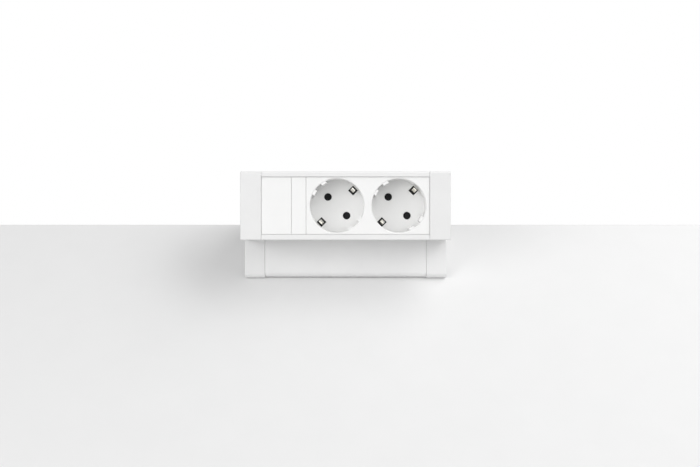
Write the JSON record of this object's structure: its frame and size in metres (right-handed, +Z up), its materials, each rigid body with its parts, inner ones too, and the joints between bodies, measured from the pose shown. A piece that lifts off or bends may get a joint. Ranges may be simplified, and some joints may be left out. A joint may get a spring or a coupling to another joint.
{
  "type": "desk power strip",
  "caption": "Stepped white desk power unit with a leaning face, earthed two-pin sockets, blank inserts, end caps and a rear desk clamp.",
  "frame": {"origin": "centre of the seat, on the desk top under the base", "axes": "+X along the strip, left to right seen from the front; +Y to the rear wall; +Z up"},
  "size_m": [0.1476, 0.0774, 0.16],
  "materials": {
    "white_powder_coat": "satin white powder coat on aluminium",
    "white_cap": "satin white painted die-cast zinc",
    "white_plastic": "fine-textured white polycarbonate",
    "carrier_plastic": "black moulded polyamide",
    "shutter_plastic": "black acetal",
    "brass": "rolled brass strip",
    "nickel": "nickel-plated brass strip",
    "spring_steel": "drawn spring steel wire",
    "zinc_steel": "bright zinc-plated steel",
    "white_steel": "white powder coat on steel",
    "black_rubber": "matt black rubber",
    "black_plastic": "fine-textured black nylon",
    "block_plastic": "natural polyamide",
    "insulation_brown": "brown PVC insulation",
    "insulation_blue": "blue PVC insulation",
    "insulation_green": "green and yellow PVC insulation"
  },
  "bodies": {
    "housing": {"housing_profile": "white_powder_coat", "left_end_cap": "white_cap", "right_end_cap": "white_cap", "end_cap_screws": "zinc_steel", "blank_plate": "white_plastic", "spacer_plate": "white_plastic", "double_socket_plate": "white_plastic", "left_shutter_spring": "spring_steel", "right_shutter_spring": "spring_steel", "contact_carrier": "carrier_plastic", "live_busbar": "brass", "neutral_busbar": "brass", "earth_busbar": "nickel", "carrier_cover": "carrier_plastic", "carrier_screws": "zinc_steel", "terminal_block": "block_plastic", "terminal_screws": "zinc_steel", "terminal_fixing_screws": "zinc_steel", "live_lead": "insulation_brown", "neutral_lead": "insulation_blue", "earth_lead": "insulation_green", "bond_lead": "insulation_green", "bond_screw": "zinc_steel", "cable_bush": "black_plastic", "cord_grip_base": "black_plastic", "cord_grip_saddle": "black_plastic", "cord_grip_screws": "zinc_steel", "seat_pads": "black_rubber", "edge_pad": "black_rubber", "clamp_bracket": "white_steel", "bracket_bolts": "zinc_steel", "bracket_nut_bar": "zinc_steel", "clamp_nut": "zinc_steel"},
    "left_shutter": {"left_shutter": "shutter_plastic"},
    "right_shutter": {"right_shutter": "shutter_plastic"},
    "clamp_pad": {"clamp_pad": "zinc_steel", "pad_facing": "black_rubber"},
    "clamp_screw": {"clamp_screw": "zinc_steel", "clamp_knob": "black_plastic"}
  },
  "joints": [
    {"name": "left_shutter_turn", "type": "hinge", "parent": "housing", "child": "left_shutter", "pos_m": [-0.006, -0.0056, 0.04901], "axis": [0, -0.766, 0.6428], "range_deg": [0, 38], "stiffness_Nm_per_rad": 0.004, "springref_deg": -5.73},
    {"name": "right_shutter_turn", "type": "hinge", "parent": "housing", "child": "right_shutter", "pos_m": [0.03735, -0.0056, 0.04901], "axis": [0, -0.766, 0.6428], "range_deg": [0, 38], "stiffness_Nm_per_rad": 0.004, "springref_deg": -5.73},
    {"name": "clamp_travel", "type": "slide", "parent": "housing", "child": "clamp_pad", "axis": [0, 0, 1], "range_m": [-0.01, 0.01]},
    {"name": "clamp_screw_turn", "type": "hinge", "parent": "clamp_pad", "child": "clamp_screw", "pos_m": [0, 0.008, -0.04], "axis": [0, 0, 1], "range_deg": [-2900, 2900]}
  ],
  "couplings": [
    {"joint": "clamp_screw_turn", "follows": "clamp_travel", "rad_per_m": 5026.5}
  ]
}
